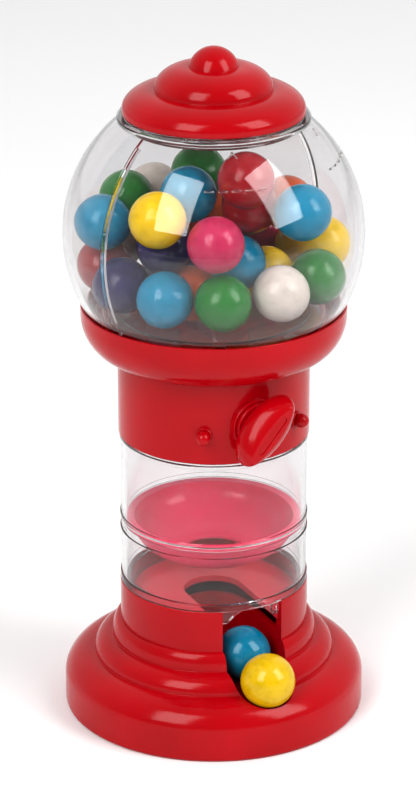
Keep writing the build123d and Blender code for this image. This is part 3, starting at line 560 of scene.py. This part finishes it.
knob = {
    "height": 95.0, "stemRadius": 3.5, "stemStart": 12.4, "stemEnd": 28.9,
    "discs": ((6.8, 28.7, 30.0), (5.5, 29.9, 31.2)),
    "halfLength": 11.3, "halfWidth": 6.2, "face": 37.4,
    "base": 30.7, "pinch": 0.2, "tilt": 50.0, "recess": (6.2, 0.95, 0.3)
}
pin = {
    "spread": 31.3, "height": 92.4, "shaft": 1.45, "shaftStart": 22.0, "ballRadius": 2.05,
    "discRadius": 2.4, "discHeight": 0.9
}


def headForm():
    soft = head["rounding"]
    inner = head["radius"] - head["wall"]
    drum = turnedForm((
        (inner, head["bottom"], soft), (head["radius"], head["bottom"], soft),
        (head["radius"], head["top"], soft), (head["flangeBore"], head["top"], soft),
        (head["flangeBore"], head["top"] - head["wall"], soft),
        (inner, head["top"] - head["wall"], 0.4)
    ), 180)
    spot = radialFrame(frontTurn, 0, knob["height"])
    boss = moved(turnedForm((
        (0, inner - past, 0), (head["bossRadius"] + 0.1, inner - past, 0),
        (head["bossRadius"], head["bossFace"], 0.45), (0, head["bossFace"], 0)
    ), 96), spot)
    form = combined(drum, boss, "UNION")
    form = combined(form, roundRod(head["stemHole"], *head["drilled"], spot), "DIFFERENCE")
    for side in (-1, 1):
        pinSpot = radialFrame(frontTurn + side * pin["spread"], 0, pin["height"])
        hole = roundRod(pin["shaft"] + 0.05, *head["drilled"], pinSpot, 32)
        form = combined(form, hole, "DIFFERENCE")
    return form


def lensRing(bm, halfLength, halfWidth, height, steps=56):
    # one closed ring, an oval drawn slightly to a point at both ends; local Y is the long way
    ring = []
    for step in range(steps):
        angle = math.radians(360 * step / steps)
        across = halfWidth * math.cos(angle) * abs(math.cos(angle)) ** knob["pinch"]
        ring.append(bm.verts.new((across, halfLength * math.sin(angle), height)))
    return ring


def gripForm():
    rise = knob["face"] - knob["base"]
    # each level: part of the way out, part of the length, part of the width
    levels = (
        (0.0, 0.97, 0.96), (0.12, 0.995, 0.995), (0.26, 1.0, 1.0), (0.42, 0.995, 0.96), (0.56, 0.98, 0.885),
        (0.68, 0.96, 0.79), (0.79, 0.93, 0.68), (0.88, 0.90, 0.57), (0.95, 0.865, 0.46), (1.0, 0.83, 0.36)
    )
    bm = bmesh.new()
    rings = []
    for along, longways, sideways in levels:
        rings.append(lensRing(
            bm, knob["halfLength"] * longways, knob["halfWidth"] * sideways, knob["base"] + rise * along
        ))
    for lower, upper in zip(rings, rings[1:]):
        edges = []
        for ring in (lower, upper):
            for index, vert in enumerate(ring):
                pair = (vert, ring[(index + 1) % len(ring)])
                edges.append(bm.edges.get(pair) or bm.edges.new(pair))
        bmesh.ops.bridge_loops(bm, edges=edges)
    bm.faces.new(rings[0])
    face = bm.faces.new(rings[-1])
    bmesh.ops.recalc_face_normals(bm, faces=bm.faces)
    rim = list(face.edges)
    bmesh.ops.bevel(
        bm, geom=rim, offset=0.28, offset_type="OFFSET", segments=3, profile=0.5, affect="EDGES",
        clamp_overlap=True, material=-1
    )
    return bm


def knobForm():
    discs = []
    for radius, bottom, top in knob["discs"]:
        discs.append(turnedForm((
            (0, bottom, 0), (radius, bottom, 0.2), (radius, top, 0.4), (0, top, 0)
        ), 96))
    stem = turnedForm((
        (0, knob["stemStart"], 0), (knob["stemRadius"], knob["stemStart"], 0.3),
        (knob["stemRadius"], knob["stemEnd"], 0), (0, knob["stemEnd"], 0)
    ), 64)
    form = combined(discs[0], discs[1], "UNION")
    form = combined(form, stem, "UNION")
    lean = Matrix.Rotation(math.radians(knob["tilt"] - 90), 4, "Z")
    form = combined(form, moved(gripForm(), lean), "UNION")
    length, width, depth = knob["recess"]
    ends = []
    for side in (-1, 1):
        spot = Matrix.Translation((0, side * (length - width), 0))
        ends.append(roundRod(width, knob["face"] - depth, knob["face"] + 2 * past, spot, 40))
    slot = moved(hullOf(gathered(ends)), lean)
    form = combined(form, slot, "DIFFERENCE")
    return moved(form, radialFrame(frontTurn, 0, knob["height"]))


def pinForm():
    pins = []
    seat = head["radius"] - 0.05
    ballCentre = head["radius"] + pin["ballRadius"] + 0.1
    neck = math.degrees(math.asin((ballCentre - seat - pin["discHeight"]) / pin["ballRadius"]))
    corners = [
        (0, pin["shaftStart"], 0), (pin["shaft"], pin["shaftStart"], 0.2), (pin["shaft"], seat, 0),
        (pin["discRadius"], seat, 0), (pin["discRadius"], seat + pin["discHeight"], 0.3)
    ]
    corners += bow((0, ballCentre), (pin["ballRadius"], pin["ballRadius"]), -neck, 90, 12)
    for side in (-1, 1):
        spot = radialFrame(frontTurn + side * pin["spread"], 0, pin["height"])
        pins.append(moved(turnedForm(corners, 48), spot))
    return gathered(pins)


finishPiece("headDrum", headForm(), red, "machine", ("head",))
finishPiece("pins", pinForm(), red, "machine", ("cradle_pins",))
finishPiece("turnKnob", knobForm(), red, "knob", ("knob",))
print("head, pins and knob done")


# dish that carries the globe

saucer = {
    "radius": 37.2, "lipBottom": 119.0, "top": 121.6, "wall": 1.6, "lipBore": 36.65, "footRadius": 27.1,
    "throatHole": 10.2, "ledgeInner": 29.7, "ledgeOuter": 35.3, "ledgeTop": 117.4, "ringTop": 118.2,
    "ringWall": 1.5, "bowlStart": 27.0
}


def saucerForm():
    foot = head["top"] + 0.02
    corners = [(saucer["throatHole"], foot, 0.2), (saucer["footRadius"], foot, 0)]
    corners += bow(
        (saucer["footRadius"], saucer["lipBottom"]),
        (saucer["radius"] - saucer["footRadius"], saucer["lipBottom"] - foot), 276, 360, 18
    )
    corners += [
        (saucer["radius"], saucer["top"], 0.45), (saucer["lipBore"], saucer["top"], 0.1),
        (saucer["radius"] - saucer["wall"], saucer["lipBottom"], 0.1)
    ]
    hollow = (
        saucer["radius"] - saucer["wall"] - saucer["bowlStart"], saucer["lipBottom"] - foot - saucer["wall"]
    )
    corners += bow((saucer["bowlStart"], saucer["lipBottom"]), hollow, 352, 270, 14)
    corners.append((saucer["throatHole"], foot + saucer["wall"], 0.2))
    dish = turnedForm(corners, smoothest)
    inner = saucer["ledgeInner"]
    outer = inner + saucer["ringWall"]
    underLedge = saucer["ledgeTop"] - saucer["wall"]
    ledge = turnedForm((
        (inner, head["top"] + past, 0), (outer, head["top"] + past, 0), (outer, underLedge, 0),
        (saucer["ledgeOuter"], underLedge, 0), (saucer["ledgeOuter"], saucer["ledgeTop"], 0.1),
        (outer, saucer["ledgeTop"], 0.1), (outer, saucer["ringTop"], 0.2), (inner, saucer["ringTop"], 0.2)
    ), 160)
    return gathered((dish, ledge))


finishPiece("saucerDish", saucerForm(), red, "machine", ("saucer",))
print("saucer done")


# globe, its clear floor, neck ring and seal

globe = {
    "radius": 41.9, "centre": 142.2, "wall": 1.4, "bottom": 117.4, "top": 174.9, "ribDepth": 0.8,
    "ribWidth": 0.8, "seamGap": 0.05, "floorTop": 119.6, "floorThickness": 1.4, "floorRadius": 31.7,
    "feedRadius": 8.8, "tabTurn": 3.0, "arrowTurns": (9.9, 77.0), "arrowLift": 47.6, "tickLift": 33.6,
    "ticks": 5, "tickStep": 6.0, "tickSize": (2.6, 0.6), "arrowSize": (0.4, 2.6),
    "markThickness": 0.28, "tab": (3.4, 1.8, 1.2), "arcInset": 4.4, "arcWidth": 0.8, "arcHeight": 0.4
}
neck = {
    "radius": 22.4, "wall": 1.2, "top": 179.2, "flangeRadius": 26.6, "flangeTop": 176.1,
    "lugBottom": 177.3, "lugHeight": 1.1, "lugRoom": 0.3, "entryWidth": 4.6, "track": 50
}
seal = {"inner": 22.8, "outer": 25.0, "bottom": 176.2, "top": 176.7}


def globeArc(radius, reachRadius, low, high, steps):
    # stretch of a circle round the globe's middle between two heights, reckoned at reachRadius
    middle = globe["centre"]
    ends = [math.degrees(math.asin((height - middle) / reachRadius)) for height in (low, high)]
    return bow((0, middle), (radius, radius), *ends, steps)


def shellForm(startTurn):
    outer = globe["radius"]
    inner = outer - globe["wall"]
    corners = globeArc(outer, outer, globe["bottom"], globe["top"], 56)
    corners += globeArc(inner, inner, globe["top"], globe["bottom"], 56)
    slack = math.degrees(globe["seamGap"] / outer)
    shell = turnedForm(corners, 240, startTurn + slack, 180 - 2 * slack)
    # rib along both seam edges, between the floor and the neck
    ribs = []
    ribInner = inner - globe["ribDepth"]
    ribTurn = math.degrees(globe["ribWidth"] / inner)
    low, high, slant = globe["floorTop"] + 1.5, globe["top"] - 3, 0.4
    ribCorners = globeArc(inner + slant, inner, low, high, 40)
    ribCorners += globeArc(ribInner, ribInner, high - slant, low + slant, 40)
    for edgeTurn in (startTurn + slack, startTurn + 180 - slack - ribTurn):
        ribs.append(turnedForm(ribCorners, 720, edgeTurn, ribTurn))
    for rib in ribs:
        shell = combined(shell, rib, "UNION")
    # raised marks: an arrowhead with a row of ticks below it
    marks = []
    for turn in globe["arrowTurns"]:
        if startTurn == seamTurn:
            for side in (-1, 1):
                marks.append((turn + side * 1.2, globe["arrowLift"], side * 35, *globe["arrowSize"]))
            for tick in range(globe["ticks"]):
                shift = (tick - (globe["ticks"] - 1) / 2) * globe["tickStep"]
                marks.append((turn + shift, globe["tickLift"], 0, *globe["tickSize"]))
    return gathered((shell, marksForm(marks))) if marks else shell


def marksForm(marks):
    # plain raised ticks and arrowheads on the sphere, each (turn, lift, roll, width, height)
    bars = []
    for turn, lift, roll, width, height in marks:
        spot = radialFrame(turn, 0, globe["centre"]) @ Matrix.Rotation(-math.radians(lift), 4, "X")
        spot = spot @ Matrix.Translation((0, 0, globe["radius"] + 0.16))
        spot = spot @ Matrix.Rotation(math.radians(roll), 4, "Z")
        bars.append(block((width, height, globe["markThickness"]), spot, 0.1))
    return gathered(bars)


def floorForm():
    under = globe["floorTop"] - globe["floorThickness"]
    top = globe["floorTop"]
    arcOuter = globe["floorRadius"] - globe["arcInset"]
    arcInner = arcOuter - globe["arcWidth"]
    arcTop = top + globe["arcHeight"]
    disc = turnedForm((
        (globe["feedRadius"], under, 0.1), (globe["floorRadius"], under, 0.2),
        (globe["floorRadius"], top, 0.3), (arcOuter, top, 0.1), (arcOuter, arcTop, 0.2), (arcInner, arcTop, 0.2), (arcInner, top, 0.1),
        (globe["feedRadius"] + 0.7, top, 0.2), (globe["feedRadius"], top - 0.7, 0.1)
    ), 160)
    for index in range(3):
        spot = radialFrame(globe["tabTurn"] + index * 120, globe["floorRadius"] - globe["tab"][1], top + 0.7)
        disc = combined(disc, block(globe["tab"], spot, 0.25), "UNION")
    return disc


def neckForm():
    bore = neck["radius"] - neck["wall"]
    inner = globe["radius"] - globe["wall"]
    mouth = math.sqrt(inner ** 2 - (globe["top"] - globe["centre"]) ** 2) - 0.2
    foot = globe["top"] - 2
    form = turnedForm((
        (bore, foot, 0.3), (mouth, foot, 0.3), (mouth, globe["top"], 0),
        (neck["flangeRadius"], globe["top"] + 0.03, 0.3), (neck["flangeRadius"], neck["flangeTop"], 0.3),
        (neck["radius"], neck["flangeTop"], 0.2), (neck["radius"], neck["top"], 0.3), (bore, neck["top"], 0.3)
    ), 180)
    # an entry from above and a track to the side for each lug of the lid
    low = neck["lugBottom"] - neck["lugRoom"]
    trackTop = neck["lugBottom"] + neck["lugHeight"] + neck["lugRoom"]
    entry = math.degrees(neck["entryWidth"] / neck["radius"])
    slotBore, slotOuter = bore - past, neck["radius"] + 0.3
    for index in range(3):
        start = index * 120 - entry / 2
        for high, begin, sweep in (
            (neck["top"] + past, start, entry), (trackTop, start - neck["track"], entry + neck["track"])
        ):
            corners = ((slotBore, low, 0), (slotOuter, low, 0), (slotOuter, high, 0), (slotBore, high, 0))
            form = combined(form, turnedForm(corners, 240, begin, sweep), "DIFFERENCE")
    return form


for name, node, start in (
    ("globeFront", "globe_front_shell", seamTurn), ("globeBack", "globe_back_shell", seamTurn + 180)
):
    finishPiece(name, shellForm(start), clear, "machine", (node,))
finishPiece("globeFloor", floorForm(), clear, "machine", ("globe_floor",))
finishPiece("neckRing", neckForm(), clear, "machine", ("neck_ring",))
sealForm = turnedForm((
    (seal["inner"], seal["bottom"], 0.12), (seal["outer"], seal["bottom"], 0.12),
    (seal["outer"], seal["top"], 0.12), (seal["inner"], seal["top"], 0.12)
), 160)
finishPiece("lidSeal", sealForm, clear, "lid_seal", ("lid_seal",))
print("globe and neck done")


# lid, hollow underneath, with three lugs

lid = {
    "radius": 25.2, "bottom": 176.8, "sideHeight": 1.2, "creases": (16.4, 7.3), "tops": (183.5, 189.9),
    "wall": 1.5, "skirtBore": 23.0, "finialRadius": 6.9, "finialHeight": 5.4, "creaseRounding": 0.4,
    "lugInner": 21.6, "lugWidth": 4.0
}


def lidForm():
    side = lid["bottom"] + lid["sideHeight"]
    corners = [(lid["skirtBore"], lid["bottom"], 0.2), (lid["radius"], lid["bottom"], 0.4)]
    radius = lid["radius"]
    height = side
    for crease, top in zip(lid["creases"], lid["tops"]):
        corners += bow((crease, height), (radius - crease, top - height), 2, 82, 14)
        corners.append((crease, top, lid["creaseRounding"]))
        radius = crease
        height = top
    capRadius = (lid["finialRadius"] ** 2 + lid["finialHeight"] ** 2) / (2 * lid["finialHeight"])
    capStart = math.degrees(math.acos(lid["finialRadius"] / capRadius))
    corners += bow((0, height + lid["finialHeight"] - capRadius), (capRadius, capRadius), capStart, 90, 14)
    # hollow underneath
    inner = []
    radius = lid["skirtBore"]
    height = side
    for crease, top in zip(lid["creases"], lid["tops"]):
        shoulder = crease - lid["wall"]
        inner += bow((shoulder, height), (radius - shoulder, top - lid["wall"] - height), 0, 90, 10)
        radius = shoulder
        height = top - lid["wall"]
    inner.append((0, height, 0))
    corners += inner[::-1]
    form = turnedForm(corners, smoothest)
    lugTurn = math.degrees(lid["lugWidth"] / neck["radius"])
    lugOuter = lid["skirtBore"] + 0.5
    low = neck["lugBottom"]
    high = low + neck["lugHeight"]
    lugs = []
    for index in range(3):
        lugs.append(turnedForm((
            (lid["lugInner"], low, 0.1), (lugOuter, low, 0), (lugOuter, high, 0), (lid["lugInner"], high, 0.1)
        ), 240, index * 120 - lugTurn / 2, lugTurn))
    return combined(form, gathered(lugs), "UNION")


finishPiece("lidCap", lidForm(), red, "lid", ("lid",))
print("lid done")


# gumballs, one mesh for each colour

gumball = {"radius": 7.8, "dimple": 0.05, "lean": 0.05, "subdivisions": 5}


def ballCentres(node):
    # middles of the separate balls in a CAD node, in millimetres
    bm = bmesh.new()
    bm.from_mesh(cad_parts[node].data)
    bmesh.ops.remove_doubles(bm, verts=bm.verts, dist=1e-6)
    bm.verts.ensure_lookup_table()
    unseen = set(range(len(bm.verts)))
    centres = []
    for first in range(len(bm.verts)):
        if first not in unseen:
            continue
        unseen.discard(first)
        island = [bm.verts[first]]
        for vert in island:
            for edge in vert.link_edges:
                other = edge.other_vert(vert)
                if other.index in unseen:
                    unseen.discard(other.index)
                    island.append(other)
        spots = [vert.co for vert in island]
        low = Vector([min(spot[axis] for spot in spots) for axis in range(3)])
        high = Vector([max(spot[axis] for spot in spots) for axis in range(3)])
        centres.append((low + high) / 2 / mm)
    bm.free()
    return centres


def ballForm(centre):
    # a hard ball with the slight flats and dimples that tumbling leaves, all inwards
    bm = bmesh.new()
    bmesh.ops.create_icosphere(bm, subdivisions=gumball["subdivisions"], radius=1)
    mean = gumball["radius"] - gumball["lean"] - gumball["dimple"] * 0.5
    for vert in bm.verts:
        way = vert.co.normalized()
        low = noise.noise(way * 1.3 + centre * 0.37) * gumball["lean"]
        small = noise.noise(way * 5.0 + centre * 0.71) * gumball["dimple"] * 0.5
        vert.co = way * (mean + low + small)
    return moved(bm, Matrix.Translation(centre))


for node in sorted(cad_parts):
    if not node.startswith("gumballs_"):
        continue
    shade = node.split("_")[-1]
    form = gathered([ballForm(centre) for centre in ballCentres(node)])
    name = node.replace("gumballs_", "gumballs.")
    finishPiece(name, form, shells[shade], "machine", (node,))
print("gumballs done")


# inner parts keep their own shape and only take a material

for node, material in (
    ("bottom_plate", red), ("plate_screws", steel), ("drop_floor", floorPaintedLightRed), ("cradle", red), ("rotor", red),
    ("rotor_screw", steel), ("head_screws", steel), ("feed_throat", red)
):
    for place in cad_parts[node].material_slots:
        place.material = material


# floor, lights and camera

light = {
    "turns": (-34, 62), "lift": 37, "distance": 1.5, "size": (0.7, 1.15), "power": 16,
    "worldBack": 0.95, "worldFront": 0.30,
    "floorDeep": (0.89, 0.89, 0.89), "floorPale": (0.91, 0.91, 0.91), "aim": (0, 0, 0.11)
}


def stageFloor():
    bm = bmesh.new()
    bmesh.ops.create_grid(bm, x_segments=1, y_segments=1, size=6)
    ground = plainObject("floor", bm)
    material, tree, shader, place, output = startMaterial("paleFloor")
    grain = grainOf(tree, place, 3, 2)
    grey = coloursOf(tree, grain, ((0.3, light["floorDeep"]), (0.7, light["floorPale"])))
    tree.links.new(grey, shader.inputs["Base Color"])
    shader.inputs["Roughness"].default_value = 0.8
    shader.inputs["Specular IOR Level"].default_value = 0.1
    ground.data.materials.append(material)


def softBox(name, turn):
    target = Vector(light["aim"])
    lift = math.radians(light["lift"])
    way = outward(turn) * math.cos(lift) + Vector((0, 0, math.sin(lift)))
    lamp = bpy.data.lights.new(name, "AREA")
    lamp.shape = "RECTANGLE"
    lamp.size, lamp.size_y = light["size"]
    lamp.energy = light["power"]
    holder = bpy.data.objects.new(name, lamp)
    holder.location = target + way * light["distance"]
    holder.rotation_euler = (-way).to_track_quat("-Z", "Y").to_euler()
    bpy.context.scene.collection.objects.link(holder)


stageFloor()
for index, turn in enumerate(light["turns"]):
    softBox("softBox" + str(index), turn)

world = bpy.data.worlds.new("studio")
bpy.context.scene.world = world
world.use_nodes = True
skyTree = world.node_tree
skyTree.nodes.clear()
skyOutput = skyTree.nodes.new("ShaderNodeOutputWorld")
skyLight = skyTree.nodes.new("ShaderNodeBackground")
skyPlace = skyTree.nodes.new("ShaderNodeTexCoord")
skyParts = skyTree.nodes.new("ShaderNodeSeparateXYZ")
skySpread = skyTree.nodes.new("ShaderNodeMapRange")
skyTree.links.new(skyPlace.outputs["Generated"], skyParts.inputs["Vector"])
skyTree.links.new(skyParts.outputs["Y"], skySpread.inputs["Value"])
skySpread.inputs["From Min"].default_value = -0.5
skySpread.inputs["From Max"].default_value = 0.35
skySpread.inputs["To Min"].default_value = light["worldFront"]
skySpread.inputs["To Max"].default_value = light["worldBack"]
skyTree.links.new(skySpread.outputs["Result"], skyLight.inputs["Strength"])
skyTree.links.new(skyLight.outputs["Background"], skyOutput.inputs["Surface"])
skyLight.inputs["Color"].default_value = (1, 1, 1, 1)

eye = {"place": (0, -0.900, 0.4523), "tilt": 68.26, "lens": 156.4, "shiftX": -0.0073, "gamma": 0.86}
camera = bpy.data.objects.new("camera", bpy.data.cameras.new("camera"))
camera.location = eye["place"]
camera.rotation_euler = (math.radians(eye["tilt"]), 0, 0)
camera.data.lens = eye["lens"]
camera.data.sensor_width = 36
camera.data.sensor_fit = "AUTO"
camera.data.shift_x = eye["shiftX"]
camera.data.clip_start = 0.01
bpy.context.scene.collection.objects.link(camera)
bpy.context.scene.camera = camera
bpy.context.scene.view_settings.view_transform = "Standard"
bpy.context.scene.view_settings.gamma = eye["gamma"]
print("stage ready")
